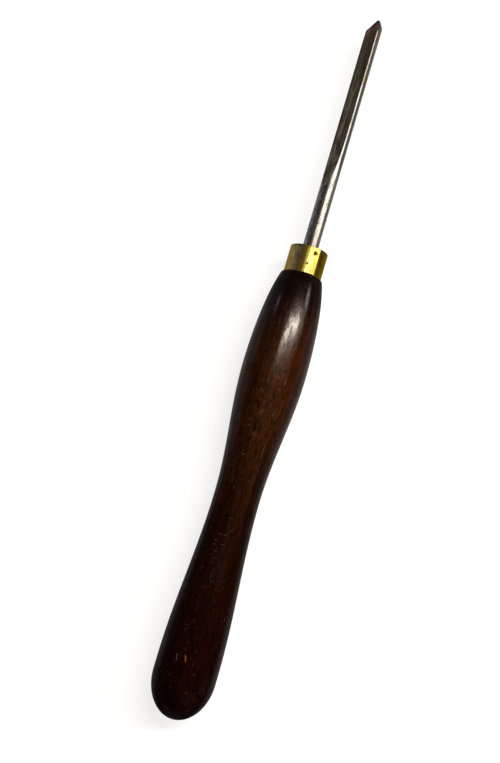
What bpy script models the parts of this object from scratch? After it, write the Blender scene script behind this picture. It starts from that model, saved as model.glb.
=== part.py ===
"""Spindle gouge: a turned hardwood handle, a brass ferrule and a fluted steel blade.

Units are metres. The tool lies along +X with its nose at the +X end, and rests on the plane Z = 0
on the front bulge of its handle. Every piece is modelled along its own Z axis, measured forward
from the butt, and the empty "tool_axis" lays all of them down together.
"""
import math

import bmesh
import bpy
from mathutils import Vector

# Handle outline, from the butt forward
BUTT_RADIUS = 0.0180
BUTT_DOME_LENGTH = 0.0240
BUTT_CREST_LENGTH = 0.0060
WAIST_RADIUS = 0.01325
WAIST_FALL_LENGTH = 0.0975
BULGE_RADIUS = 0.0190
BULGE_RISE_LENGTH = 0.0780
SHOULDER_FALL_LENGTH = 0.0577
SHOULDER_ARC = math.radians(60)
SHOULDER_LIP = 0.0013
SHOULDER_ROUND = 0.0008

# Ferrule tube on the handle's tenon
FERRULE_RADIUS = 0.0114
FERRULE_WALL = 0.0016
FERRULE_LENGTH = 0.01655
FERRULE_ROUND = 0.0003
TENON_RECESS = 0.0005

# Punch marks that stake the ferrule: distance from the near edge, turn from the top, depth
FRONT_MARK_INSET = 0.0036
FRONT_MARK_TURN = math.radians(18.5)
FRONT_MARK_DEPTH = 0.0006
REAR_MARK_INSET = 0.0057
REAR_MARK_TURN = math.radians(3.5)
REAR_MARK_DEPTH = 0.0003
PUNCH_ANGLE = math.radians(110)

# Blade bar, its tang in the handle, its flute and its ground bevel
BAR_RADIUS = 0.0047625
TANG_LENGTH = 0.0600
TANG_CHAMFER = 0.0008
SHANK_LENGTH = 0.03975
FLUTE_LENGTH = 0.0764
FLUTE_RADIUS = 0.0042
FLUTE_FLOOR_DROP = 0.0017
MILL_RADIUS = 0.1120
FLUTE_ROLL = math.radians(36.5)
BEVEL_ANGLE = math.radians(24)
NOSE_ROUND = 0.0017
NOSE_LIFT = 0.0001

# Fits
FIT_GAP = 0.0003
BORE_END_GAP = 0.0020
DRILL_POINT_ANGLE = math.radians(118)

# Fineness of the round shapes
TURN_STEPS = 40
CURVE_STEPS = 9
ROUND_STEPS = 2
PUNCH_STEPS = 12
MILL_STEPS = 14
SMOOTH_ANGLE = math.radians(30)
MERGE_REACH = 0.000005
CUT_SPARE = 0.0030

# Stations along the tool, measured from the butt
CREST_AT = BUTT_DOME_LENGTH + BUTT_CREST_LENGTH
WAIST_AT = CREST_AT + WAIST_FALL_LENGTH
BULGE_AT = WAIST_AT + BULGE_RISE_LENGTH
SHOULDER_AT = BULGE_AT + SHOULDER_FALL_LENGTH
FERRULE_REAR_AT = SHOULDER_AT + FIT_GAP
FERRULE_FRONT_AT = FERRULE_REAR_AT + FERRULE_LENGTH
TENON_END_AT = FERRULE_FRONT_AT - TENON_RECESS
TANG_END_AT = FERRULE_FRONT_AT - TANG_LENGTH
BORE_END_AT = TANG_END_AT - BORE_END_GAP
FLUTE_DEPTH = BAR_RADIUS + FLUTE_FLOOR_DROP
RUN_OUT_LENGTH = math.sqrt(2 * MILL_RADIUS * FLUTE_DEPTH - FLUTE_DEPTH ** 2)
FULL_FLUTE_AT = FERRULE_FRONT_AT + SHANK_LENGTH + RUN_OUT_LENGTH
NOSE_AT = FULL_FLUTE_AT + FLUTE_LENGTH

# Radii and heights that follow from the fits
SHOULDER_RADIUS = FERRULE_RADIUS + SHOULDER_LIP
FERRULE_BORE = FERRULE_RADIUS - FERRULE_WALL
TENON_RADIUS = FERRULE_BORE - FIT_GAP
BORE_RADIUS = BAR_RADIUS + FIT_GAP
HALF_STEP = math.pi / TURN_STEPS
AXIS_HEIGHT = BULGE_RADIUS * math.cos(HALF_STEP)


def clear_scene():
    """Remove the objects that the file opened with."""
    for obj in list(bpy.data.objects):
        bpy.data.objects.remove(obj, do_unlink=True)


def new_collection(name):
    collection = bpy.data.collections.new(name)
    bpy.context.scene.collection.children.link(collection)
    return collection


def finish(name, colour, roughness, metallic):
    """A plain Principled material."""
    material = bpy.data.materials.new(name)
    material.use_nodes = True
    shader = material.node_tree.nodes["Principled BSDF"]
    shader.inputs["Base Color"].default_value = (*colour, 1.0)
    shader.inputs["Roughness"].default_value = roughness
    shader.inputs["Metallic"].default_value = metallic
    return material


def add_object(name, mesh, collection, parent):
    obj = bpy.data.objects.new(name, mesh)
    collection.objects.link(obj)
    obj.parent = parent
    return obj


def turned(name, profile, collection, parent):
    """A solid turned about Z from (radius, station) points that run down its outer side."""
    mesh = bpy.data.meshes.new(name)
    edges = [(i, i + 1) for i in range(len(profile) - 1)]
    mesh.from_pydata([(radius, 0.0, station) for radius, station in profile], edges, [])
    obj = add_object(name, mesh, collection, parent)
    screw = obj.modifiers.new("turn", "SCREW")
    screw.axis = "Z"
    screw.steps = TURN_STEPS
    screw.render_steps = TURN_STEPS
    screw.use_merge_vertices = True
    screw.merge_threshold = MERGE_REACH
    screw.use_smooth_shade = True
    return obj


def cut(obj, cutter, label):
    """Take the cutter's shape out of an object."""
    boolean = obj.modifiers.new(label, "BOOLEAN")
    boolean.operation = "DIFFERENCE"
    boolean.solver = "EXACT"
    boolean.object = cutter


def as_cutter(obj):
    obj.hide_render = True
    obj.display_type = "WIRE"
    return obj


def settle(obj, material):
    """Apply the modifiers, shade the round faces smooth and give the piece its material."""
    evaluated = obj.evaluated_get(bpy.context.evaluated_depsgraph_get())
    mesh = bpy.data.meshes.new_from_object(evaluated)
    obj.modifiers.clear()
    obj.data = mesh
    mesh.name = obj.name
    mesh.shade_smooth()
    mesh.set_sharp_from_angle(angle=SMOOTH_ANGLE)
    mesh.materials.clear()
    mesh.materials.append(material)


def cosine_run(start_radius, end_radius, start, length):
    """Half a cosine wave between two radii, without its first point, from the front backward."""
    points = []
    for i in range(1, CURVE_STEPS + 1):
        share = i / CURVE_STEPS
        blend = (1 - math.cos(math.pi * share)) / 2
        radius = start_radius + (end_radius - start_radius) * blend
        points.append((radius, start - length * share))
    return points


def rounded_edge(radius, station, size):
    """Quarter arc on an outer front edge, from the front face round to the side."""
    points = []
    for i in range(ROUND_STEPS + 1):
        turn = math.pi / 2 * i / ROUND_STEPS
        outward = radius - size + size * math.sin(turn)
        points.append((outward, station - size + size * math.cos(turn)))
    return points


def handle_outline():
    """Blind bore, tenon, shoulder, front bulge, waist, crest and butt dome."""
    drill_point = BORE_RADIUS / math.tan(DRILL_POINT_ANGLE / 2)
    points = [
        (0.0, BORE_END_AT - drill_point),
        (BORE_RADIUS, BORE_END_AT),
        (BORE_RADIUS, TENON_END_AT),
        (TENON_RADIUS, TENON_END_AT),
        (TENON_RADIUS, SHOULDER_AT),
    ]
    points += rounded_edge(SHOULDER_RADIUS, SHOULDER_AT, SHOULDER_ROUND)
    rounded_at = SHOULDER_AT - SHOULDER_ROUND
    for i in range(1, CURVE_STEPS + 1):
        turn = SHOULDER_ARC * (1 - i / CURVE_STEPS)
        drop = (1 - math.cos(turn)) / (1 - math.cos(SHOULDER_ARC))
        reach = math.sin(turn) / math.sin(SHOULDER_ARC)
        radius = BULGE_RADIUS - (BULGE_RADIUS - SHOULDER_RADIUS) * drop
        points.append((radius, BULGE_AT + (rounded_at - BULGE_AT) * reach))
    points += cosine_run(BULGE_RADIUS, WAIST_RADIUS, BULGE_AT, BULGE_RISE_LENGTH)
    points += cosine_run(WAIST_RADIUS, BUTT_RADIUS, WAIST_AT, WAIST_FALL_LENGTH)
    for i in range(CURVE_STEPS + 1):
        turn = math.pi / 2 * i / CURVE_STEPS
        radius = BUTT_RADIUS * math.cos(turn)
        points.append((radius, BUTT_DOME_LENGTH * (1 - math.sin(turn))))
    points[-1] = (0.0, 0.0)
    return points


def build_handle(collection, axis):
    """Turned handle, with a flat of its facets on the bench side."""
    handle = turned("handle", handle_outline(), collection, axis)
    handle.rotation_euler.z = HALF_STEP
    settle(handle, finish("handle_wood", (0.035, 0.014, 0.006), 0.30, 0.0))


def punch_mark(name, station, turn, depth, cutters, axis):
    """Cone whose point lies the given depth under the ferrule's skin, opening outward."""
    length = depth + CUT_SPARE
    mesh = bpy.data.meshes.new(name)
    shape = bmesh.new()
    bmesh.ops.create_cone(
        shape,
        cap_ends=True,
        segments=PUNCH_STEPS,
        radius1=0.0,
        radius2=length * math.tan(PUNCH_ANGLE / 2),
        depth=length,
    )
    bmesh.ops.remove_doubles(shape, verts=shape.verts, dist=MERGE_REACH)
    bmesh.ops.translate(shape, verts=shape.verts, vec=(0.0, 0.0, length / 2))
    shape.to_mesh(mesh)
    shape.free()
    cone = as_cutter(add_object(name, mesh, cutters, axis))
    outward = Vector((-math.cos(turn), -math.sin(turn), 0.0))
    cone.location = outward * (FERRULE_RADIUS - depth) + Vector((0.0, 0.0, station))
    cone.rotation_euler = outward.to_track_quat("Z", "Y").to_euler()
    return cone


def build_ferrule(collection, cutters, axis):
    """Brass tube seated on the shoulder, staked with two punch marks."""
    points = [(FERRULE_BORE, FERRULE_REAR_AT), (FERRULE_BORE, FERRULE_FRONT_AT)]
    points += rounded_edge(FERRULE_RADIUS, FERRULE_FRONT_AT, FERRULE_ROUND)
    points += [(FERRULE_RADIUS, FERRULE_REAR_AT), (FERRULE_BORE, FERRULE_REAR_AT)]
    ferrule = turned("ferrule", points, collection, axis)
    ferrule.rotation_euler.z = HALF_STEP
    front_station = FERRULE_FRONT_AT - FRONT_MARK_INSET
    rear_station = FERRULE_REAR_AT + REAR_MARK_INSET
    front = punch_mark("front_punch", front_station, FRONT_MARK_TURN, FRONT_MARK_DEPTH, cutters, axis)
    rear = punch_mark("rear_punch", rear_station, REAR_MARK_TURN, REAR_MARK_DEPTH, cutters, axis)
    bpy.context.view_layer.update()
    cut(ferrule, front, "front mark")
    cut(ferrule, rear, "rear mark")
    settle(ferrule, finish("ferrule_brass", (0.45, 0.30, 0.075), 0.25, 1.0))


def flute_cutter(cutters, blade):
    """Round milling path: straight along the flute, then up an arc and out of the bar."""
    curve = bpy.data.curves.new("flute_path", "CURVE")
    curve.dimensions = "3D"
    curve.bevel_depth = FLUTE_RADIUS
    curve.bevel_resolution = MILL_STEPS
    curve.use_fill_caps = True
    lift = FLUTE_RADIUS - FLUTE_FLOOR_DROP
    arc_radius = MILL_RADIUS - FLUTE_RADIUS
    arc_turn = math.acos(1 - (FLUTE_DEPTH + CUT_SPARE) / MILL_RADIUS)
    places = [(-lift, 0.0, NOSE_AT + CUT_SPARE)]
    for i in range(CURVE_STEPS + 1):
        turn = arc_turn * i / CURVE_STEPS
        height = lift + arc_radius * (1 - math.cos(turn))
        places.append((-height, 0.0, FULL_FLUTE_AT - arc_radius * math.sin(turn)))
    spline = curve.splines.new("POLY")
    spline.points.add(len(places) - 1)
    for point, place in zip(spline.points, places):
        point.co = (*place, 1.0)
    path = add_object("flute_path", curve, cutters, blade)
    bpy.context.view_layer.update()
    evaluated = path.evaluated_get(bpy.context.evaluated_depsgraph_get())
    mesh = bpy.data.meshes.new_from_object(evaluated)
    shape = bmesh.new()
    shape.from_mesh(mesh)
    bmesh.ops.remove_doubles(shape, verts=shape.verts, dist=MERGE_REACH)
    bmesh.ops.recalc_face_normals(shape, faces=shape.faces)
    shape.to_mesh(mesh)
    shape.free()
    tube = as_cutter(add_object("flute_cutter", mesh, cutters, blade))
    bpy.context.view_layer.update()
    tube.matrix_world = path.matrix_world
    bpy.data.objects.remove(path)
    return tube


def bevel_cutter(cutters, blade):
    """Block with a hollow like a blunt cone, which grinds the bar's end about the flute's floor."""
    reach = 2 * (BAR_RADIUS + FLUTE_FLOOR_DROP)
    points = [(0.0, NOSE_AT + 2 * CUT_SPARE), (reach, NOSE_AT + 2 * CUT_SPARE)]
    for i in range(CURVE_STEPS + 1):
        aside = reach * (1 - i / CURVE_STEPS) ** 2
        drop = (math.hypot(aside, NOSE_ROUND) - NOSE_ROUND) / math.tan(BEVEL_ANGLE)
        points.append((aside, NOSE_AT - drop))
    block = as_cutter(turned("bevel_cutter", points, cutters, blade))
    block.location.x = FLUTE_FLOOR_DROP - NOSE_LIFT
    return block


def build_blade(collection, cutters, axis):
    """Round bar with a chamfered tang, a flute that runs out and a fingernail bevel."""
    points = [
        (0.0, NOSE_AT + CUT_SPARE),
        (BAR_RADIUS, NOSE_AT + CUT_SPARE),
        (BAR_RADIUS, TANG_END_AT + TANG_CHAMFER),
        (BAR_RADIUS - TANG_CHAMFER, TANG_END_AT),
        (0.0, TANG_END_AT),
    ]
    blade = turned("blade", points, collection, axis)
    blade.rotation_euler.z = -FLUTE_ROLL
    flute = flute_cutter(cutters, blade)
    bevel = bevel_cutter(cutters, blade)
    bpy.context.view_layer.update()
    cut(blade, flute, "flute")
    cut(blade, bevel, "bevel")
    settle(blade, finish("blade_steel", (0.22, 0.21, 0.20), 0.28, 1.0))


def main():
    clear_scene()
    parts = new_collection("spindle_gouge")
    cutters = new_collection("cutters")
    axis = bpy.data.objects.new("tool_axis", None)
    parts.objects.link(axis)
    axis.location = (-NOSE_AT / 2, 0.0, AXIS_HEIGHT)
    axis.rotation_euler = (0.0, math.pi / 2, 0.0)
    bpy.context.view_layer.update()
    build_handle(parts, axis)
    build_ferrule(parts, cutters, axis)
    build_blade(parts, cutters, axis)


main()
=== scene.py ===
"""Looks of the spindle gouge: lacquered dark hardwood, a brass ferrule and a fluted steel blade."""
import math
from collections import namedtuple

import bmesh
import bpy
import numpy as np
from mathutils import Matrix, Vector


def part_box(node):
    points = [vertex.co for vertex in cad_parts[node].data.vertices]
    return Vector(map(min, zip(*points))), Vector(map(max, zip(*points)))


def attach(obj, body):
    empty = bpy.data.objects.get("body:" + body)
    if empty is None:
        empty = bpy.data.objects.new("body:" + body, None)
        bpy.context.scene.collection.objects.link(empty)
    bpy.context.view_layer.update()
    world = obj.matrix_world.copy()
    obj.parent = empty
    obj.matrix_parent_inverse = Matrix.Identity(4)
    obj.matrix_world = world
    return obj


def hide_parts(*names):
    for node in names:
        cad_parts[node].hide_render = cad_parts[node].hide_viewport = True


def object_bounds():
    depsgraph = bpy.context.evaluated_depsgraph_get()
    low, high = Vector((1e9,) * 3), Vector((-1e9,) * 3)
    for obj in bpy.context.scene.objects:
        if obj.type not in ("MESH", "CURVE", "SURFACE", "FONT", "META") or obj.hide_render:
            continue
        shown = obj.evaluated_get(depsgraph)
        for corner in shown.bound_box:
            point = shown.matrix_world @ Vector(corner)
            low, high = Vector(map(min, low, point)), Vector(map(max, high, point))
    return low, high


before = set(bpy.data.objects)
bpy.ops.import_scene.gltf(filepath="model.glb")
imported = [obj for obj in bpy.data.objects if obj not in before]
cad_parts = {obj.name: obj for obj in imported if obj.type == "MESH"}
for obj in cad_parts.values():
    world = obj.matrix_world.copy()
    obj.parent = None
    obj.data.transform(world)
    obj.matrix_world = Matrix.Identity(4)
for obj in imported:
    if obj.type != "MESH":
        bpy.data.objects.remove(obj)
CAD_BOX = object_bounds()

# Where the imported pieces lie: the tool's axis runs along +X from the butt to the nose
HANDLE_LOW, HANDLE_HIGH = (Vector(corner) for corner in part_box("handle"))
FERRULE_LOW, FERRULE_HIGH = (Vector(corner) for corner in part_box("ferrule"))
BLADE_LOW, BLADE_HIGH = (Vector(corner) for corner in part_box("blade"))
BUTT_X = HANDLE_LOW.x
TENON_END_X = HANDLE_HIGH.x
NOSE_X = BLADE_HIGH.x
TANG_END_X = BLADE_LOW.x
FERRULE_REAR_X = FERRULE_LOW.x
FERRULE_FRONT_X = FERRULE_HIGH.x
AXIS_Z = (HANDLE_LOW.z + HANDLE_HIGH.z) / 2

# Handle outline in metres, from the butt forward
BUTT_RADIUS = 0.0180
BUTT_DOME = 0.0240
BUTT_CREST = 0.0060
WAIST_RADIUS = 0.01325
WAIST_FALL = 0.0975
BULGE_RADIUS = (HANDLE_HIGH.z - HANDLE_LOW.z) / 2
BULGE_RISE = 0.0780
SHOULDER_RADIUS = 0.0127
SHOULDER_FALL = 0.0577
SHOULDER_ARC = math.radians(60)
SHOULDER_ROUND = 0.0008
SHOULDER_X = BUTT_X + BUTT_DOME + BUTT_CREST + WAIST_FALL + BULGE_RISE + SHOULDER_FALL
BORE_RADIUS = 0.0050625
BORE_DEPTH = 0.0615
TENON_RADIUS = 0.0095
TENON_ROUND = 0.0004

# Ferrule tube and its two punch marks, which are turned from straight up to the tool's right
Dent = namedtuple("Dent", "x turn width depth")
FERRULE_RADIUS = 0.0114
FERRULE_BORE = 0.0098
FERRULE_FRONT_ROUND = 0.0003
FERRULE_REAR_ROUND = 0.0002
FRONT_DENT = Dent(FERRULE_FRONT_X - 0.0036, math.radians(18.5), 0.0019, 0.0006)
REAR_DENT = Dent(FERRULE_REAR_X + 0.0057, math.radians(3.5), 0.0011, 0.00035)

# Blade: round bar, milled flute with its run-out, ground nose
BAR_RADIUS = 0.0047625
TANG_CHAMFER = 0.0008
FLUTE_RADIUS = 0.0042
FLUTE_DROP = 0.0017
FLUTE_LENGTH = 0.0764
FLUTE_ROLL = math.radians(36.5)
MILL_RADIUS = 0.1120
BEVEL_ANGLE = math.radians(24)
NOSE_ROUND = 0.0017
NOSE_LIFT = 0.0001
GRIND_HEIGHT = NOSE_LIFT - FLUTE_DROP
GRIND_LENGTH = 0.0160
FULL_FLUTE_X = NOSE_X - FLUTE_LENGTH

# Marks in the wood: place (from the butt, to the left, over the axis), half size, turn, strength
# and colour of a scratch at the waist, then of a knock and a scrape near the butt
WOOD_MARKS = (
    ((0.1575, -0.0066, 0.0125), (0.0075, 0.00022, 0.003), -0.02, 0.70, (0.085, 0.050, 0.022, 1)),
    ((0.0347, 0.0025, 0.0178), (0.0026, 0.0005, 0.003), 0.30, 0.85, (0.26, 0.050, 0.012, 1)),
    ((0.0340, 0.0073, 0.0164), (0.0026, 0.0003, 0.003), 0.12, 0.70, (0.10, 0.09, 0.08, 1)),
)
# Patches rich in painted glints, tan flecks for light caught on crosswise tool marks: place and
# half size
GLINT_PATCHES = (
    ((0.0985, 0.0025, 0.015), (0.014, 0.0045, 0.012)),
    ((0.1740, 0.0030, 0.015), (0.034, 0.0045, 0.012)),
)
# How far the heat of the grinding wheel has tinted the steel behind the grind
HEAT_REACH = 0.040

# Colours laid over the wood
DARK_LINE = (0.007, 0.0020, 0.0006, 1)
DARK_PORE = (0.005, 0.0013, 0.0004, 1)
DARK_DASH = (0.006, 0.0014, 0.0003, 1)
# Painted shade for the handle's flanks
SIDE_SHADE = (0.004, 0.001, 0.0004, 1)
# Painted glint of light caught on crosswise tool marks
PAINTED_GLINT = (0.075, 0.044, 0.022, 1)
PALE_SCUFF = (0.060, 0.036, 0.022, 1)
# Colours laid over the brass
BROWN_STREAK = (0.045, 0.030, 0.012, 1)
# Painted sheen at the edge of the ferrule's highlight
AMBER_SHEEN = (0.400, 0.225, 0.024, 1)
GRIME = (0.105, 0.076, 0.012, 1)
GREEN_RIM = (0.040, 0.044, 0.020, 1)
# Colours laid over the steel
DARK_SPECK = (0.095, 0.080, 0.090, 1)
GREY_CLOUD = (0.125, 0.117, 0.110, 1)
WARM_SPECKLE = (0.230, 0.180, 0.095, 1)
# Painted shade for the steel bar's sides
EDGE_SHADE = (0.050, 0.045, 0.039, 1)
# Painted shade for the flute's right slope
SLOPE_SHADE = (0.030, 0.026, 0.020, 1)

# Camera, as the photograph was taken
PHOTO_HEIGHT = 763
FOCAL_PIXELS = 1200
SENSOR_MM = 36
TOOL_LEAN = math.radians(16.52)
VIEW_TILT = math.radians(9.5)
VIEW_DISTANCE = 0.6978
VIEW_ASIDE = 0.0117
AIM_FROM_BUTT = 0.1945
NEAREST_SEEN = 0.01

# Floor, room and softboxes
WHITE = (1, 1, 1, 1)
PAPER_GREY = (0.25, 0.25, 0.25, 1)
FLOOR_HALF = 6.0
FLOOR_GAP = 0.0002
WHITE_IN_METAL = 0.85
SOFTBOX_DISTANCE = 2.5
SOFTBOX_SLANT = 0.0985
WARM, SUN, COOL = (1.0, 0.96, 0.88), (1.0, 0.89, 0.76), (0.62, 0.80, 1.0)
# Softboxes: name, turn in degrees and lean of the direction, size in degrees round the axis and in
# radians along it, radiance, colour, and the pieces that take its light (all when none is named)
SOFTBOXES = (
    ("window", 35, 0.360, 60, 0.21, 4.0, WARM, ("ferrule", "floor")),
    ("long_window", 39, 0.360, 61, 0.21, 4.1, WARM, ("blade",)),
    ("side_pane", -2, 0.278, 16, 0.06, 2.2, WARM, ("ferrule",)),
    ("left_wall", -52, 0.300, 84, 0.80, 0.16, WARM, ("ferrule", "blade")),
    ("sash", 23, 0.358, 62, 0.13, 4.6, SUN, ("handle", "floor")),
    ("lamp", 17, 0.362, 40, 0.046, 82, SUN, ("handle", "floor")),
    ("back_pane", 40, -0.680, 50, 0.50, 1.0, WARM, ("handle", "floor")),
    ("low_pane", 54, 0.525, 11, 0.15, 12.0, WARM, ("handle",)),
    ("long_window_end", 54, 0.525, 11, 0.15, 6.5, WARM, ("ferrule", "blade")),
    ("skylight", 8, -0.12, 60, 0.26, 2.0, WARM, ("ferrule", "blade")),
    ("right_pane", 78, -0.08, 36, 0.26, 2.8, WARM, ("ferrule", "blade")),
    ("right_pane_behind", 78, -0.30, 14, 0.24, 2.0, WARM, ("handle",)),
    ("left_pane", -78, -0.08, 36, 0.26, 2.8, WARM, ("ferrule", "blade")),
    ("left_pane_behind", -78, -0.30, 14, 0.24, 2.0, WARM, ("handle",)),
    ("cool_fill", -70, 0.440, 9, 0.055, 7.0, COOL, ()),
)


def grid_faces(rows, columns, start=0, closed_rows=False, closed_columns=False):
    """Quads between neighbouring rows and columns of a grid of vertices, numbered row by row."""
    index = np.arange(rows * columns).reshape(rows, columns) + start
    if closed_rows:
        index = np.vstack([index, index[:1]])
    if closed_columns:
        index = np.hstack([index, index[:, :1]])
    corners = (index[:-1, :-1], index[1:, :-1], index[1:, 1:], index[:-1, 1:])
    return np.stack([corner.ravel() for corner in corners], axis=1)


def surface_piece(name, points, faces, sharp_degrees=32):
    """One closed object from vertices and quads: doubles merged, faces outward, shaded smooth."""
    mesh = bpy.data.meshes.new(name)
    mesh.from_pydata(points.tolist(), [], faces.tolist())
    shape = bmesh.new()
    shape.from_mesh(mesh)
    bmesh.ops.remove_doubles(shape, verts=shape.verts, dist=1e-7)
    bmesh.ops.recalc_face_normals(shape, faces=shape.faces)
    shape.to_mesh(mesh)
    shape.free()
    mesh.shade_smooth()
    mesh.set_sharp_from_angle(angle=math.radians(sharp_degrees))
    piece = bpy.data.objects.new(name, mesh)
    bpy.context.scene.collection.objects.link(piece)
    return piece


def about_axis(station, radius, turn):
    """Points at a radius from the tool's axis, turned from straight up towards +Y."""
    return np.stack([station, radius * np.sin(turn), AXIS_Z + radius * np.cos(turn)], axis=-1)


def round_corner(station, radius, size, start, end, count):
    """Arc of points round a corner's centre, in (station, radius), between angles in degrees."""
    angle = np.radians(np.linspace(start, end, count))
    return station + size * np.cos(angle), radius + size * np.sin(angle)


def handle_outline(fall_points=90, wave_points=100, dome_points=50):
    """Station and radius down the handle: bore, tenon, shoulder, bulge, waist and butt dome.

    The bulge falls to the shoulder along an arc of an ellipse, rises from the waist and falls from
    the butt's crest along half cosine waves, and the butt is a quarter of an ellipse.
    """
    bulge_x = SHOULDER_X - SHOULDER_FALL
    waist_x = bulge_x - BULGE_RISE
    crest_x = waist_x - WAIST_FALL
    bore_end_x = TENON_END_X - BORE_DEPTH
    bore = np.array([[bore_end_x, 0.0], [bore_end_x, BORE_RADIUS], [TENON_END_X, BORE_RADIUS]]).T
    tenon_edge = round_corner(
        TENON_END_X - TENON_ROUND, TENON_RADIUS - TENON_ROUND, TENON_ROUND, 0, 90, count=4)
    tenon_foot = np.array([[SHOULDER_X], [TENON_RADIUS]])
    rounded_x = SHOULDER_X - SHOULDER_ROUND
    shoulder = round_corner(
        rounded_x, SHOULDER_RADIUS - SHOULDER_ROUND, SHOULDER_ROUND, 0, 90, count=8)

    turn = np.linspace(SHOULDER_ARC, 0, fall_points)[1:]
    drop = (1 - np.cos(turn)) / (1 - math.cos(SHOULDER_ARC))
    reach = np.sin(turn) / math.sin(SHOULDER_ARC)
    fall = (bulge_x + (rounded_x - bulge_x) * reach,
            BULGE_RADIUS - (BULGE_RADIUS - SHOULDER_RADIUS) * drop)

    share = np.linspace(0, 1, wave_points)[1:]
    wave = (1 - np.cos(np.pi * share)) / 2
    rise = (bulge_x - BULGE_RISE * share, BULGE_RADIUS + (WAIST_RADIUS - BULGE_RADIUS) * wave)
    sweep = (waist_x - WAIST_FALL * share, WAIST_RADIUS + (BUTT_RADIUS - WAIST_RADIUS) * wave)

    round_off = np.linspace(0, np.pi / 2, dome_points)
    dome = (crest_x - BUTT_CREST - BUTT_DOME * np.sin(round_off), BUTT_RADIUS * np.cos(round_off))
    runs = (bore, tenon_edge, tenon_foot, shoulder, fall, rise, sweep, dome)
    station = np.concatenate([run[0] for run in runs])
    radius = np.concatenate([run[1] for run in runs])
    return station, radius


def turned_handle(steps=160):
    """Handle outline carried round the axis; both of its ends lie on the axis."""
    station, radius = handle_outline()
    turn = np.arange(steps) * 2 * np.pi / steps
    points = about_axis(
        np.repeat(station[:, None], steps, axis=1), radius[:, None] * np.ones(steps), turn[None, :])
    faces = grid_faces(len(station), steps, closed_columns=True)
    return surface_piece("turned_handle", points.reshape(-1, 3), faces)


def punch_dent(station, turn, dent):
    """Depth of a punched pit with a low raised rim, by distance over the ferrule's skin.

    The pit narrows almost like a cone. Its outline is a circle made uneven by two and by three
    waves round its middle, and the rim is a bell curve round that outline.
    """
    across = FERRULE_RADIUS * ((turn + dent.turn + np.pi) % (2 * np.pi) - np.pi)
    along = station - dent.x
    bearing = np.arctan2(across, along)
    uneven = 1 - 0.16 * np.sin(2 * bearing + 0.3) + 0.10 * np.sin(3 * bearing)
    distance = np.hypot(across, along) / (dent.width / 2 * uneven)
    pit = dent.depth * np.clip(1 - distance, 0, 1) ** 0.8
    rim_at, rim_spread, rim_height = 1.15, 0.22, 0.12 * dent.depth
    return pit - rim_height * np.exp(-((distance - rim_at) / rim_spread) ** 2)


def ferrule_tube(steps=420, skin_points=130):
    """Tube outline carried round the axis, with its two punch marks sunk in the outer skin."""
    front_x = FERRULE_FRONT_X - FERRULE_FRONT_ROUND
    rear_x = FERRULE_REAR_X + FERRULE_REAR_ROUND
    inside = np.array([[FERRULE_REAR_X, FERRULE_BORE], [FERRULE_FRONT_X, FERRULE_BORE]]).T
    front = round_corner(
        front_x, FERRULE_RADIUS - FERRULE_FRONT_ROUND, FERRULE_FRONT_ROUND, 0, 90, count=7)
    skin_x = np.linspace(front_x, rear_x, skin_points)[1:-1]
    skin = (skin_x, np.full(skin_x.shape, FERRULE_RADIUS))
    rear = round_corner(
        rear_x, FERRULE_RADIUS - FERRULE_REAR_ROUND, FERRULE_REAR_ROUND, 90, 180, count=5)
    station = np.concatenate([run[0] for run in (inside, front, skin, rear)])
    radius = np.concatenate([run[1] for run in (inside, front, skin, rear)])
    turn = np.arange(steps) * 2 * np.pi / steps
    station = np.repeat(station[:, None], steps, axis=1)
    radius = np.repeat(radius[:, None], steps, axis=1)
    turn = np.repeat(turn[None, :], len(station), axis=0)
    dents = punch_dent(station, turn, FRONT_DENT) + punch_dent(station, turn, REAR_DENT)
    on_skin = radius > FERRULE_RADIUS - 1e-6
    radius = radius - np.where(on_skin, dents, 0)
    points = about_axis(station, radius, turn)
    faces = grid_faces(*station.shape, closed_rows=True, closed_columns=True)
    return surface_piece("brass_ferrule", points.reshape(-1, 3), faces)


def flute_height(side, behind):
    """Height of the milled floor over the bar's axis, at a distance aside of the flute's middle.

    The mill is a wheel with a round rim. In front of its last place the floor is the rim's own
    circle, and behind it the floor rises along the wheel.
    """
    rim = MILL_RADIUS - FLUTE_RADIUS + np.sqrt(np.maximum(FLUTE_RADIUS ** 2 - side ** 2, 0))
    return MILL_RADIUS - FLUTE_DROP - np.sqrt(np.maximum(rim ** 2 - behind ** 2, 0))


def flute_lip(behind, halvings=50):
    """Half width of the flute where its floor meets the round of the bar, found by halving."""
    low = np.zeros_like(behind)
    high = np.full_like(behind, FLUTE_RADIUS)
    for _ in range(halvings):
        middle = (low + high) / 2
        inside = flute_height(middle, behind) < np.sqrt(BAR_RADIUS ** 2 - middle ** 2)
        low = np.where(inside, middle, low)
        high = np.where(inside, high, middle)
    return low


def bar_point(station, height, side):
    """Places a point of a bar section: height is towards the flute's mouth, side to its right."""
    across = height * math.sin(FLUTE_ROLL) - side * math.cos(FLUTE_ROLL)
    upward = height * math.cos(FLUTE_ROLL) + side * math.sin(FLUTE_ROLL)
    return np.stack([station, across, AXIS_Z + upward], axis=-1)


def section_loop(behind, count):
    """Height and side round each bar section: outer arc from lip to lip, then the flute back."""
    lip = flute_lip(behind)[:, None]
    lip_turn = np.arcsin(lip / BAR_RADIUS)
    turn = lip_turn + np.linspace(0, 1, count)[None, :] * (2 * np.pi - 2 * lip_turn)
    side = -lip * np.cos(np.pi * np.linspace(0, 1, count))[None, 1:-1]
    floor = flute_height(side, behind[:, None])
    floor = np.where(lip > 1e-9, floor, BAR_RADIUS)
    height = np.hstack([BAR_RADIUS * np.cos(turn), floor])
    return height, np.hstack([BAR_RADIUS * np.sin(turn), side])


def ground_x(height, side):
    """Station of the ground nose, a blunt cone.

    It is a hyperbola turned about a line that runs along the tool just over the flute's floor.
    """
    aside = np.hypot(height - GRIND_HEIGHT, side)
    return NOSE_X - (np.hypot(aside, NOSE_ROUND) - NOSE_ROUND) / math.tan(BEVEL_ANGLE)


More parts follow.
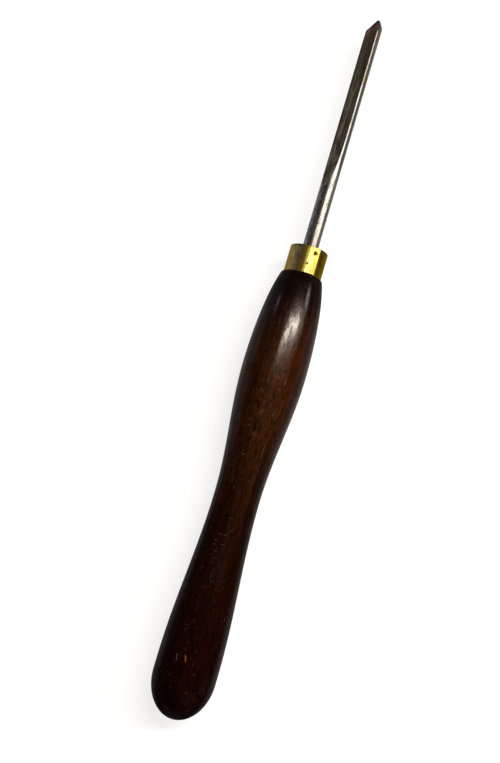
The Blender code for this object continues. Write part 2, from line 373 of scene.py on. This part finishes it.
def bar_stations(plain_points=60, rising_points=120, straight_points=50):
    """Stations of the bar sections: plain bar, closer along the run-out, and on to the grind."""
    flute_depth = BAR_RADIUS + FLUTE_DROP
    run_out = math.sqrt(2 * MILL_RADIUS * flute_depth - flute_depth ** 2)
    plain = np.linspace(TANG_END_X + TANG_CHAMFER, FULL_FLUTE_X - run_out, plain_points)
    rising = FULL_FLUTE_X - run_out * (1 - np.linspace(0, 1, rising_points)[1:] ** 2)
    straight = np.linspace(FULL_FLUTE_X, NOSE_X - GRIND_LENGTH, straight_points)[1:]
    return np.concatenate([plain, rising, straight])


def fluted_blade(section_points=84, grind_points=50, bevel_points=24):
    """Bar sections carried along the axis, ended on the ground nose, with the bevel between arcs.

    Behind the nose every line of the bar runs on to the ground surface. The bevel joins each point
    of the outer arc to a point of the flute's edge, along that surface.
    """
    station = bar_stations()
    height, side = section_loop(np.maximum(FULL_FLUTE_X - station, 0), section_points)
    along = np.repeat(station[:, None], height.shape[1], axis=1)

    end_height, end_side = height[-1], side[-1]
    grind_x = NOSE_X - GRIND_LENGTH
    share = np.linspace(0, 1, grind_points)[1:, None]
    tip_along = grind_x + (ground_x(end_height, end_side) - grind_x)[None, :] * share
    ones = np.ones((len(share), 1))

    tang_scale = np.array([[0.0], [(BAR_RADIUS - TANG_CHAMFER) / BAR_RADIUS]])
    tang_along = np.full((len(tang_scale), height.shape[1]), TANG_END_X)
    along = np.vstack([tang_along, along, tip_along])
    height = np.vstack([tang_scale * height[0], height, ones * end_height])
    side = np.vstack([tang_scale * side[0], side, ones * end_side])
    body = bar_point(along, height, side)

    last = section_points - 1
    inner = np.concatenate([[0], np.arange(2 * section_points - 3, last, -1), [last]])
    fill = np.linspace(0, 1, bevel_points)[None, :]
    outer_height, outer_side = end_height[:section_points, None], end_side[:section_points, None]
    bevel_height = outer_height * (1 - fill) + end_height[inner][:, None] * fill
    bevel_side = outer_side * (1 - fill) + end_side[inner][:, None] * fill
    bevel_x = ground_x(bevel_height, bevel_side)
    bevel = bar_point(bevel_x, bevel_height, bevel_side)

    points = np.vstack([body.reshape(-1, 3), bevel.reshape(-1, 3)])
    faces = np.vstack([
        grid_faces(*along.shape, closed_columns=True),
        grid_faces(*bevel_x.shape, start=along.size),
    ])
    return surface_piece("fluted_blade", points, faces, sharp_degrees=12)


def place_camera():
    """Camera over the tool, tilted towards the nose, with the tool leaning right in the picture."""
    aim = Vector((BUTT_X + AIM_FROM_BUTT, 0, AXIS_Z))
    forward = Vector((math.sin(VIEW_TILT), 0, -math.cos(VIEW_TILT)))
    along = Vector((math.cos(VIEW_TILT), 0, math.sin(VIEW_TILT)))
    aside = Vector((0, -1, 0))
    right = aside * math.cos(TOOL_LEAN) + along * math.sin(TOOL_LEAN)
    up = along * math.cos(TOOL_LEAN) - aside * math.sin(TOOL_LEAN)
    place = aim - forward * VIEW_DISTANCE - aside * VIEW_ASIDE
    data = bpy.data.cameras.new("photo_camera")
    data.sensor_fit = "VERTICAL"
    data.sensor_height = SENSOR_MM
    data.lens = SENSOR_MM * FOCAL_PIXELS / PHOTO_HEIGHT
    data.clip_start = NEAREST_SEEN
    camera = bpy.data.objects.new("photo_camera", data)
    turn = Matrix((right, up, -forward)).transposed().to_4x4()
    camera.matrix_world = Matrix.Translation(place) @ turn
    bpy.context.scene.collection.objects.link(camera)
    bpy.context.scene.camera = camera


def make(tree, kind, inputs=None, **settings):
    """Adds a node, with its settings, and fills its inputs with values or other nodes' outputs."""
    node = tree.nodes.new(kind)
    for key, value in settings.items():
        setattr(node, key, value)
    for key, value in (inputs or {}).items():
        if isinstance(value, bpy.types.NodeSocket):
            tree.links.new(value, node.inputs[key])
        else:
            node.inputs[key].default_value = value
    return node


def calc(tree, operation, *values):
    """Output of a maths node on numbers or sockets."""
    return make(tree, "ShaderNodeMath", dict(enumerate(values)), operation=operation).outputs[0]


def times(tree, value, *factors):
    """Product of a socket and any number of numbers or sockets."""
    for factor in factors:
        value = calc(tree, "MULTIPLY", value, factor)
    return value


def scaled(tree, value, factor, offset):
    """A value times a factor, plus an offset."""
    return calc(tree, "MULTIPLY_ADD", value, factor, offset)


def ease(tree, value, start, end, low=0.0, high=1.0):
    """Smooth step from low to high while the value goes from start to end."""
    inputs = {"Value": value, "From Min": start, "From Max": end, "To Min": low, "To Max": high}
    node = make(tree, "ShaderNodeMapRange", inputs, interpolation_type="SMOOTHSTEP")
    return node.outputs["Result"]


def blend(tree, share, under, over, mode="MIX"):
    """One colour laid over another by a share from 0 to 1."""
    inputs = {0: share, 6: under, 7: over}
    return make(tree, "ShaderNodeMix", inputs, data_type="RGBA", blend_type=mode).outputs[2]


def shades(tree, value, stops):
    """Colour ramp through (position, colour) stops in rising order."""
    node = make(tree, "ShaderNodeValToRGB", {0: value})
    elements = node.color_ramp.elements
    for count, (position, colour) in enumerate(stops):
        element = elements[count] if count < 2 else elements.new(position)
        element.position = position
        element.color = (*colour, 1)
    return node.outputs["Color"]


def split(tree, place):
    """The X, Y and Z of a place."""
    return make(tree, "ShaderNodeSeparateXYZ", {0: place}).outputs


def mottle(tree, place, along, across, detail=3.0, shift=0.0):
    """Noise with its own pitch along the tool and across it, in waves per metre."""
    inputs = {"Vector": place, "Location": (shift, shift, shift), "Scale": (along, across, across)}
    stretched = make(tree, "ShaderNodeMapping", inputs).outputs[0]
    inputs = {"Vector": stretched, "Scale": 1.0, "Detail": detail, "Roughness": 0.6}
    return make(tree, "ShaderNodeTexNoise", inputs).outputs["Fac"]


def spot(tree, place, centre, half_size, turn=0.0):
    """1 inside an ellipsoid at a point, turned about the vertical, easing to 0 at its skin."""
    inputs = {"Vector": place, "Location": centre, "Rotation": (0, 0, turn), "Scale": half_size}
    local = make(tree, "ShaderNodeMapping", inputs, vector_type="TEXTURE").outputs[0]
    reach = make(tree, "ShaderNodeVectorMath", {0: local}, operation="LENGTH").outputs["Value"]
    return ease(tree, reach, 1.0, 0.6)


def bump(tree, height, distance):
    """Normal tilted by a height from 0 to 1, which stands for a distance in metres."""
    inputs = {"Height": height, "Distance": distance, "Strength": 1.0}
    return make(tree, "ShaderNodeBump", inputs).outputs[0]


def new_finish(name):
    """A material with its node tree, its Principled shader and the tool's own coordinates."""
    material = bpy.data.materials.new(name)
    material.use_nodes = True
    tree = material.node_tree
    place = make(tree, "ShaderNodeTexCoord").outputs["Object"]
    return material, tree, tree.nodes["Principled BSDF"], place


def on_handle(from_butt, to_left, over_axis):
    """Place of a point on the handle."""
    return BUTT_X + from_butt, to_left, AXIS_Z + over_axis


def swaying_grain(tree, place):
    """The tool's coordinates, swayed a few millimetres across the grain by slow noise."""
    pitch, reach = (11, 55, 55), (0.0, 0.010, 0.010)
    stretched = make(tree, "ShaderNodeMapping", {"Vector": place, "Scale": pitch}).outputs[0]
    noise = make(tree, "ShaderNodeTexNoise", {"Vector": stretched, "Scale": 1.0, "Detail": 2.0})
    inputs = {0: noise.outputs["Color"], 1: (0.5, 0.5, 0.5)}
    sway = make(tree, "ShaderNodeVectorMath", inputs, operation="SUBTRACT").outputs[0]
    inputs = {0: sway, 1: reach, 2: place}
    return make(tree, "ShaderNodeVectorMath", inputs, operation="MULTIPLY_ADD").outputs[0]


def wood_brown(tree, place, grain, streaks):
    """Brown of growth bands, streaks and fine lines, drifting between a red and a yellow hue."""
    bands = mottle(tree, grain, 9, 170, detail=2.0)
    fine = mottle(tree, grain, 150, 2400, shift=7.7)
    tone = scaled(tree, bands, 0.32, times(tree, streaks, 0.38))
    tone = scaled(tree, fine, 0.34, tone)
    brown = shades(tree, tone, (
        (0.40, (0.0150, 0.0029, 0.0003)), (0.50, (0.034, 0.0076, 0.0007)),
        (0.58, (0.057, 0.0146, 0.0018)), (0.68, (0.094, 0.0300, 0.0062))))
    hue = shades(tree, mottle(tree, place, 16, 70, detail=2.0, shift=15.5), (
        (0.40, (1.06, 0.92, 0.90)), (0.60, (0.96, 1.07, 1.00))))
    return blend(tree, 1.0, brown, hue, "MULTIPLY")


def stain_and_shade(tree, colour, share):
    """Stain that is clear on the bulge and deepens to black at the butt and at the shoulder; part
    of this darkening is painted shade for light that falls off towards the butt and on the forward
    slope at the shoulder.
    """
    stain = shades(tree, share, (
        (0.0, (0.16, 0.09, 0.09)), (0.16, (0.23, 0.13, 0.13)), (0.30, (0.26, 0.22, 0.24)),
        (0.45, (0.40, 0.37, 0.36)), (0.58, (0.62, 0.60, 0.52)), (0.70, (1.0, 0.98, 0.80)),
        (0.82, (1.0, 0.98, 0.70)), (0.89, (0.56, 0.52, 0.40)), (0.95, (0.16, 0.14, 0.11)),
        (1.0, (0.12, 0.12, 0.10))))
    return blend(tree, 1.0, colour, stain, "MULTIPLY")


def painted_side_shade(tree, colour, around):
    """Painted shade: the wood darkened to the left and right of the top, where less light falls,
    but not underneath.
    """
    left = ease(tree, around, -0.12, 0.42, 0.0, 0.40)
    right = ease(tree, around, -0.42, -0.72, 0.0, 0.28)
    not_below = ease(tree, calc(tree, "ABSOLUTE", around), 1.3, 2.2, 1.0, 0.0)
    sides = times(tree, calc(tree, "ADD", left, right), not_below)
    return blend(tree, sides, colour, SIDE_SHADE)


def glints_and_scuffs(tree, colour, place, share):
    """Painted glints, tan flecks across the grain for light caught on crosswise tool marks, and
    pale scuffs aslant, in patches behind the shoulder.
    """
    clear = ease(tree, share, 0.84, 0.91, 1.0, 0.0)
    glints = ease(tree, mottle(tree, place, 900, 260, detail=1.0, shift=2.4), 0.64, 0.71)
    patches = mottle(tree, place, 42, 75, detail=1.0, shift=6.2)
    patches = ease(tree, patches, 0.52, 0.62, 0.0, 0.30)
    for middle, half_size in GLINT_PATCHES:
        glint_patch = spot(tree, place, on_handle(*middle), half_size)
        patches = calc(tree, "MAXIMUM", patches, times(tree, glint_patch, 0.7))
    # Painted glints laid over the wood
    colour = blend(tree, times(tree, glints, patches, clear), colour, PAINTED_GLINT)

    aslant = make(tree, "ShaderNodeMapping", {"Vector": place, "Rotation": (0, 0, 0.22)}).outputs[0]
    scuffs = ease(tree, mottle(tree, aslant, 230, 1300, detail=1.0, shift=4.8), 0.66, 0.74)
    scuffed = mottle(tree, place, 30, 60, detail=1.0, shift=2.9)
    scuffed = ease(tree, scuffed, 0.44, 0.58, 0.0, 0.55)
    return blend(tree, times(tree, scuffs, scuffed, clear), colour, PALE_SCUFF)


def marked(tree, colour, place):
    """The marks of WOOD_MARKS laid over the wood."""
    for middle, half_size, turn, strength, mark_colour in WOOD_MARKS:
        mark = spot(tree, place, on_handle(*middle), half_size, turn)
        colour = blend(tree, times(tree, mark, strength), colour, mark_colour)
    return colour


def lacquer_weight(tree, share, around, wear):
    """Weight of the lacquer: most on top of the bulge, some along the edges, less at both ends."""
    turn = calc(tree, "ABSOLUTE", around)
    on_top = ease(tree, share, 0.36, 0.72, 0.10, 0.60)
    on_top = times(tree, on_top, ease(tree, turn, 0.42, 0.80, 1.0, 0.3))
    on_edges = ease(tree, share, 0.35, 0.60, 0.17, 0.30)
    on_edges = times(tree, on_edges, ease(tree, around, -0.5, 0.5, 1.12, 0.84))
    on_edges = times(tree, on_edges, ease(tree, turn, 0.80, 1.15))
    weight = calc(tree, "MAXIMUM", on_top, on_edges)
    weight = scaled(tree, calc(tree, "SUBTRACT", wear, 0.5), 0.15, weight)
    at_shoulder = ease(tree, share, 0.88, 0.97, 1.0, 0.55)
    at_butt = ease(tree, share, 0.02, 0.12, 0.5, 1.0)
    return times(tree, weight, at_shoulder, at_butt)


def lacquered_wood():
    """Dark stained hardwood under worn lacquer, with its grain along the tool, painted shade
    towards its ends and on its flanks, and painted glints.

    Streaks, dark lines, pores and short dashes are noise drawn out along the axis, on coordinates
    that sway. The share runs from 0 at the butt to 1 at the shoulder, and around is the turn about
    the axis from straight up to the tool's left.
    """
    material, tree, shader, place = new_finish("lacquered_wood")
    grain = swaying_grain(tree, place)
    parts = split(tree, place)
    inputs = {"Value": parts["X"], "From Min": BUTT_X, "From Max": SHOULDER_X}
    share = make(tree, "ShaderNodeMapRange", inputs).outputs["Result"]
    around = calc(tree, "ARCTAN2", parts["Y"], calc(tree, "SUBTRACT", parts["Z"], AXIS_Z))

    streaks = mottle(tree, grain, 38, 900, detail=5.0, shift=3.1)
    dark_lines = ease(tree, mottle(tree, grain, 42, 1250, detail=2.0, shift=12.3), 0.57, 0.64)
    pores = ease(tree, mottle(tree, grain, 150, 1350, detail=1.0, shift=5.9), 0.58, 0.66)
    dashes = ease(tree, mottle(tree, grain, 200, 1500, detail=2.0, shift=21.4), 0.58, 0.64)
    dashed = mottle(tree, place, 40, 190, detail=1.0, shift=17.2)
    dashed = ease(tree, dashed, 0.46, 0.56, 0.15, 0.75)

    colour = wood_brown(tree, place, grain, streaks)
    colour = blend(tree, times(tree, dark_lines, 0.65), colour, DARK_LINE)
    colour = blend(tree, times(tree, pores, 0.8), colour, DARK_PORE)
    # Stain, partly painted shade, darker towards the butt and the shoulder
    colour = stain_and_shade(tree, colour, share)
    colour = blend(tree, times(tree, dashes, dashed), colour, DARK_DASH)
    # Painted shade on the flanks, left and right of the top
    colour = painted_side_shade(tree, colour, around)
    # Painted glints, then pale scuffs
    colour = glints_and_scuffs(tree, colour, place, share)
    colour = marked(tree, colour, place)
    tree.links.new(colour, shader.inputs["Base Color"])

    wear = mottle(tree, place, 60, 140, detail=4.0, shift=9.0)
    rough = ease(tree, wear, 0.3, 0.7, 0.42, 0.60)
    tree.links.new(scaled(tree, pores, 0.2, rough), shader.inputs["Roughness"])
    height = scaled(tree, pores, -0.7, times(tree, streaks, 0.5))
    tree.links.new(bump(tree, height, 0.00018), shader.inputs["Normal"])
    shader.inputs["Specular IOR Level"].default_value = 0.0

    weight = lacquer_weight(tree, share, around, wear)
    unfilled = (scaled(tree, dark_lines, -0.25, 1.0), scaled(tree, pores, -0.45, 1.0))
    tree.links.new(times(tree, weight, *unfilled), shader.inputs["Coat Weight"])
    shader.inputs["Coat Roughness"].default_value = 0.17
    waves = scaled(tree, pores, -0.5, mottle(tree, grain, 170, 420, shift=4.4))
    tree.links.new(bump(tree, waves, 0.00006), shader.inputs["Coat Normal"])
    return material


def brass_tarnish_and_shade(tree, place, left, cloud, lines, tarnish_and_shade):
    """Brass that is bright on top, with tarnish and painted shade at the sides: brown on the right
    and olive on the left.
    """
    stains = mottle(tree, place, 130, 480, shift=1.3)
    olive = shades(tree, stains, (
        (0.34, (0.070, 0.034, 0.022)), (0.43, (0.230, 0.135, 0.070)),
        (0.52, (0.230, 0.180, 0.070)), (0.62, (0.070, 0.086, 0.042))))
    brown = shades(tree, stains, ((0.38, (0.066, 0.038, 0.006)), (0.60, (0.118, 0.070, 0.012))))
    dull = blend(tree, left, brown, olive)
    streaked = ease(tree, lines, 0.46, 0.36, 0.0, 0.35)
    streaked = times(tree, streaked, scaled(tree, left, 0.85, 0.15))
    dull = blend(tree, streaked, dull, BROWN_STREAK)
    bright = shades(tree, cloud, (
        (0.35, (0.42, 0.315, 0.040)), (0.50, (0.47, 0.385, 0.090)), (0.66, (0.51, 0.435, 0.150))))
    colour = blend(tree, tarnish_and_shade, bright, dull)
    # Painted sheen: an amber band where the highlight fades into the shaded left side
    amber_sheen = times(tree, left, calc(tree, "SUBTRACT", 1.0, left), 2.4)
    return blend(tree, amber_sheen, colour, AMBER_SHEEN)


def dent_grime(tree, place):
    """Grime in the two punch marks, each with its own strength."""
    pits = []
    for dent, strength in ((FRONT_DENT, 0.80), (REAR_DENT, 0.48)):
        aside = -FERRULE_RADIUS * math.sin(dent.turn)
        centre = (dent.x, aside, AXIS_Z + FERRULE_RADIUS * math.cos(dent.turn))
        pit = spot(tree, place, centre, (dent.width * 0.62, dent.width * 0.62, dent.width * 0.7))
        pits.append(times(tree, pit, strength))
    return calc(tree, "MAXIMUM", *pits)


def worn_brass():
    """Old brass tube: tarnish and painted shade at both sides, bright on top, dark in its dents."""
    material, tree, shader, place = new_finish("worn_brass")
    parts = split(tree, place)
    cloud = mottle(tree, place, 120, 260)
    lines = mottle(tree, place, 45, 1500, detail=4.0, shift=4.2)
    left = ease(tree, parts["Y"], 0.0002, 0.0042)
    right = ease(tree, parts["Y"], -0.0050, -0.0082)
    heavy = scaled(tree, calc(tree, "ADD", left, right), 0.55, times(tree, cloud, 0.5))
    heavy = scaled(tree, lines, 0.25, calc(tree, "ADD", heavy, 0.10))
    # Tarnish mixed with painted shade, heavier at both sides
    tarnish_and_shade = ease(tree, heavy, 0.55, 0.95)

    colour = brass_tarnish_and_shade(tree, place, left, cloud, lines, tarnish_and_shade)
    grime = dent_grime(tree, place)
    colour = blend(tree, grime, colour, GRIME)
    near_rim = ease(tree, parts["X"], FERRULE_FRONT_X - 0.0022, FERRULE_FRONT_X - 0.0004)
    green_rim = times(tree, near_rim, ease(tree, parts["Y"], 0.0030, 0.0075, 0.0, 0.8))
    colour = blend(tree, green_rim, colour, GREEN_RIM)
    tree.links.new(colour, shader.inputs["Base Color"])

    shader.inputs["Metallic"].default_value = 1
    shader.inputs["Specular Tint"].default_value = (0.85, 0.66, 0.34, 1)
    rough = ease(tree, tarnish_and_shade, 0.0, 1.0, 0.11, 0.32)
    rough = scaled(tree, right, -0.06, rough)
    rough = scaled(tree, grime, 0.35, rough)
    tree.links.new(scaled(tree, cloud, 0.06, rough), shader.inputs["Roughness"])
    turned = mottle(tree, place, 2600, 90, detail=2.0, shift=6.6)
    drawn = times(tree, lines, scaled(tree, right, -0.45, 0.6))
    height = scaled(tree, turned, 0.4, drawn)
    tree.links.new(bump(tree, height, 0.00004), shader.inputs["Normal"])
    return material


def behind_grind(tree, parts):
    """Distance behind the ground nose, along the tool.

    The nose is a blunt cone, so it is nose minus station, minus (hypot of the distance from the
    grind's line and the nose round, less that round) over the tangent of the bevel.
    """
    lift = calc(tree, "SUBTRACT", parts["Z"], GRIND_HEIGHT)
    aside = scaled(tree, parts["Y"], parts["Y"], times(tree, lift, lift))
    blunt = calc(tree, "SQRT", calc(tree, "ADD", aside, NOSE_ROUND ** 2))
    cone = calc(tree, "SUBTRACT", blunt, NOSE_ROUND)
    return scaled(tree, cone, -1 / math.tan(BEVEL_ANGLE), times(tree, parts["X"], -1))


def bar_colour(tree, place, cloud, specks, from_nose, behind):
    """Grey bar: warm speckles near the ferrule, painted shade at the sides and on the left half,
    heat tinted.
    """
    across = split(tree, place)["Y"]
    grey = shades(tree, mottle(tree, place, 140, 700, detail=2.0, shift=8.1), (
        (0.36, (0.330, 0.326, 0.370)), (0.50, (0.385, 0.374, 0.350)),
        (0.64, (0.425, 0.394, 0.305))))
    bar = blend(tree, times(tree, specks, 0.5), grey, DARK_SPECK)
    bar = blend(tree, ease(tree, cloud, 0.45, 0.7, 0.0, 0.45), bar, GREY_CLOUD)
    # Warm yellowish speckles, strongest near the ferrule
    warm_specks = mottle(tree, place, 260, 900, detail=4.0, shift=1.7)
    near_ferrule = ease(tree, from_nose, 0.118, 0.150, 0.0, 0.16)
    warm_specks = ease(tree, calc(tree, "ADD", warm_specks, near_ferrule), 0.60, 0.74)
    bar = blend(tree, times(tree, warm_specks, 0.6), bar, WARM_SPECKLE)

    # Painted shade along both sides of the bar and on its right edge towards the nose
    spread = scaled(tree, cloud, 0.0016, calc(tree, "ABSOLUTE", across))
    sides = ease(tree, spread, 0.0035, 0.0044, 0.0, 0.9)
    right_shade = ease(tree, across, -0.0026, -0.0034, 0.0, 0.75)
    right_shade = times(tree, right_shade, ease(tree, from_nose, 0.112, 0.095))
    for edge in (sides, right_shade):
        bar = blend(tree, edge, bar, EDGE_SHADE)
    # Painted shade on the left half of the bar, mottled dark grey and bluish
    left_shade_tones = shades(tree, mottle(tree, place, 260, 620, shift=11.7), (
        (0.38, (0.036, 0.030, 0.028)), (0.50, (0.090, 0.080, 0.082)),
        (0.62, (0.170, 0.160, 0.178))))
    left_shade = ease(tree, scaled(tree, cloud, 0.0020, across), 0.0010, 0.0026, 0.0, 0.85)
    bar = blend(tree, left_shade, bar, left_shade_tones)

    heat = shades(tree, times(tree, behind, 1 / HEAT_REACH), (
        (0.00, (0.080, 0.096, 0.080)), (0.05, (0.22, 0.145, 0.165)), (0.18, (0.29, 0.215, 0.205)),
        (0.32, (0.26, 0.240, 0.180)), (0.50, (0.30, 0.245, 0.230)), (0.70, (0.25, 0.230, 0.205)),
        (0.78, (0.27, 0.210, 0.085)), (0.84, (0.26, 0.200, 0.080)), (0.95, (0.225, 0.218, 0.210))))
    tint = times(tree, calc(tree, "SUBTRACT", 1.0, sides), 0.9)
    return blend(tree, times(tree, ease(tree, behind, HEAT_REACH, 0.033), tint), bar, heat)


def flute_colour(tree, place, behind):
    """Brown patina in the flute, heat tinted behind the grind, with painted shade on the right
    slope.
    """
    patina = shades(tree, mottle(tree, place, 60, 900, detail=4.0, shift=6.4), (
        (0.38, (0.068, 0.057, 0.043)), (0.50, (0.160, 0.135, 0.104)),
        (0.62, (0.290, 0.252, 0.198))))
    heat = shades(tree, times(tree, behind, 1 / HEAT_REACH), (
        (0.00, (0.028, 0.042, 0.034)), (0.035, (0.050, 0.049, 0.044)),
        (0.06, (0.215, 0.074, 0.116)), (0.10, (0.180, 0.098, 0.082)),
        (0.20, (0.152, 0.103, 0.074)), (0.55, (0.136, 0.104, 0.076)),
        (0.95, (0.145, 0.120, 0.092))))
    patina = blend(tree, ease(tree, behind, 0.036, 0.018, 0.0, 0.85), patina, heat)
    # Painted shade on the right slope of the flute
    shaded_slope = ease(tree, split(tree, place)["Y"], -0.0006, -0.0018, 0.0, 0.35)
    return blend(tree, shaded_slope, patina, SLOPE_SHADE)


def tinted_steel():
    """Dark tool steel: grey mottled bar, brown flute and a fresh grind at the nose.

    The flute is where the surface lies nearer the bar's axis than its skin. Places are taken from
    the nose, on the bar's axis, and rolled with the flute.
    """
    material, tree, shader, place = new_finish("tinted_steel")
    inputs = {"Vector": place, "Location": (NOSE_X, 0, AXIS_Z), "Rotation": (-FLUTE_ROLL, 0, 0)}
    rolled = make(tree, "ShaderNodeMapping", inputs, vector_type="TEXTURE").outputs[0]
    parts = split(tree, rolled)
    from_nose = times(tree, parts["X"], -1)
    behind = behind_grind(tree, parts)
    ground = ease(tree, behind, 0.00018, 0.00006)
    from_axis = scaled(tree, parts["Y"], parts["Y"], times(tree, parts["Z"], parts["Z"]))
    from_axis = calc(tree, "SQRT", from_axis)
    flute = ease(tree, from_axis, BAR_RADIUS * 0.985, BAR_RADIUS * 0.93)

    cloud = mottle(tree, place, 90, 420, detail=4.0)
    lines = mottle(tree, place, 35, 3200, detail=4.0, shift=2.2)
    specks = ease(tree, mottle(tree, place, 1400, 1900, detail=2.0, shift=5.3), 0.62, 0.72)
    bar = bar_colour(tree, place, cloud, specks, from_nose, behind)
    colour = blend(tree, flute, bar, flute_colour(tree, place, behind))
    fresh = shades(tree, lines, ((0.35, (0.075, 0.085, 0.078)), (0.65, (0.19, 0.19, 0.18))))
    colour = blend(tree, ground, colour, fresh)
    tree.links.new(colour, shader.inputs["Base Color"])

    shader.inputs["Metallic"].default_value = 1
    rough = ease(tree, cloud, 0.35, 0.65, 0.19, 0.28)
    tree.links.new(scaled(tree, flute, 0.36, rough), shader.inputs["Roughness"])
    height = scaled(tree, specks, -0.5, times(tree, lines, 0.7))
    tree.links.new(bump(tree, height, 0.00003), shader.inputs["Normal"])
    return material


def ray_kinds(tree):
    """Whether a ray comes from the camera, and whether it comes off metal or through glass."""
    path = make(tree, "ShaderNodeLightPath").outputs
    mirrored = calc(tree, "MAXIMUM", path["Is Glossy Ray"], path["Is Transmission Ray"])
    return path["Is Camera Ray"], mirrored


def white_floor():
    """Grey floor with a glow that only the eye and reflections see: white, with a soft shadow.

    The glow grows with the distance from the tool, because less of the softboxes falls there.
    """
    mesh = bpy.data.meshes.new("floor")
    low, high = -FLOOR_HALF, FLOOR_HALF
    corners = [(low, low, 0), (high, low, 0), (high, high, 0), (low, high, 0)]
    mesh.from_pydata(corners, [], [(0, 1, 2, 3)])
    floor = bpy.data.objects.new("floor", mesh)
    floor.location.z = CAD_BOX[0][2] - FLOOR_GAP
    bpy.context.scene.collection.objects.link(floor)
    material = bpy.data.materials.new("white_paper")
    material.use_nodes = True
    tree = material.node_tree
    tree.nodes.clear()
    from_camera, mirrored = ray_kinds(tree)
    seen = calc(tree, "MAXIMUM", from_camera, times(tree, mirrored, WHITE_IN_METAL))
    place = make(tree, "ShaderNodeTexCoord").outputs["Object"]
    away = make(tree, "ShaderNodeVectorMath", {0: place}, operation="LENGTH").outputs["Value"]
    glow = times(tree, seen, ease(tree, away, 0.4, 1.3, 0.80, 1.0))
    paper = make(tree, "ShaderNodeBsdfDiffuse", {"Color": PAPER_GREY}).outputs[0]
    light = make(tree, "ShaderNodeEmission", {"Color": WHITE, "Strength": glow}).outputs[0]
    both = make(tree, "ShaderNodeAddShader", {0: paper, 1: light}).outputs[0]
    make(tree, "ShaderNodeOutputMaterial", {"Surface": both})
    mesh.materials.append(material)
    return floor


def add_softbox(pieces, name, turn, lean, width, length, radiance, colour, lit):
    """Rectangular softbox on a row of SOFTBOXES, facing the tool's middle.

    The turn is about the tool's axis from straight up to the tool's right, and the lean is the
    share of its direction along the axis. The side round the axis slants forward as it goes down.
    """
    turn, width = math.radians(turn), math.radians(width)
    upright = math.sqrt(1 - lean ** 2)
    back = Vector((lean, -upright * math.sin(turn), upright * math.cos(turn)))
    round_axis = Vector((SOFTBOX_SLANT, -math.cos(turn), -math.sin(turn)))
    side = (round_axis - back * back.dot(round_axis)).normalized()
    data = bpy.data.lights.new(name, "AREA")
    data.shape = "RECTANGLE"
    data.size = 2 * SOFTBOX_DISTANCE * math.tan(width / 2)
    data.size_y = 2 * SOFTBOX_DISTANCE * math.tan(length / 2)
    data.energy = radiance * math.pi * data.size * data.size_y
    data.color = colour
    lamp = bpy.data.objects.new(name, data)
    facing = Matrix((side, back.cross(side), back)).transposed().to_4x4()
    place = Vector((0, 0, AXIS_Z)) + back * SOFTBOX_DISTANCE
    lamp.matrix_world = Matrix.Translation(place) @ facing
    lamp.visible_camera = False
    bpy.context.scene.collection.objects.link(lamp)
    if lit:
        receivers = bpy.data.collections.new(name + "_receivers")
        for piece in lit:
            receivers.objects.link(pieces[piece])
        lamp.light_linking.receiver_collection = receivers


def room_light():
    """Room round the bench: white to the eye and low down in reflections, dim overhead."""
    world = bpy.data.worlds.new("room")
    bpy.context.scene.world = world
    world.use_nodes = True
    tree = world.node_tree
    tree.nodes.clear()
    height = split(tree, make(tree, "ShaderNodeTexCoord").outputs["Generated"])["Z"]
    tone = shades(tree, height, (
        (0.0, (0.22, 0.20, 0.175)), (0.07, (0.108, 0.096, 0.077)), (0.30, (0.062, 0.053, 0.039))))
    from_camera, mirrored = ray_kinds(tree)
    low_down = times(tree, mirrored, ease(tree, height, 0.10, 0.02, 0.0, WHITE_IN_METAL))
    seen = calc(tree, "MAXIMUM", from_camera, low_down)
    tone = blend(tree, seen, tone, WHITE)
    sky = make(tree, "ShaderNodeBackground", {"Color": tone, "Strength": 1.0}).outputs[0]
    make(tree, "ShaderNodeOutputWorld", {"Surface": sky})


def dress(piece, node, material):
    """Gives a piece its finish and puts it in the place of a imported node."""
    piece.data.materials.append(material)
    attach(piece, "root")
    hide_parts(node)
    return piece


bpy.context.scene.view_settings.view_transform = "Standard"
place_camera()
pieces = {
    "handle": dress(turned_handle(), "handle", lacquered_wood()),
    "ferrule": dress(ferrule_tube(), "ferrule", worn_brass()),
    "blade": dress(fluted_blade(), "blade", tinted_steel()),
    "floor": white_floor(),
}
for softbox in SOFTBOXES:
    add_softbox(pieces, *softbox)
room_light()
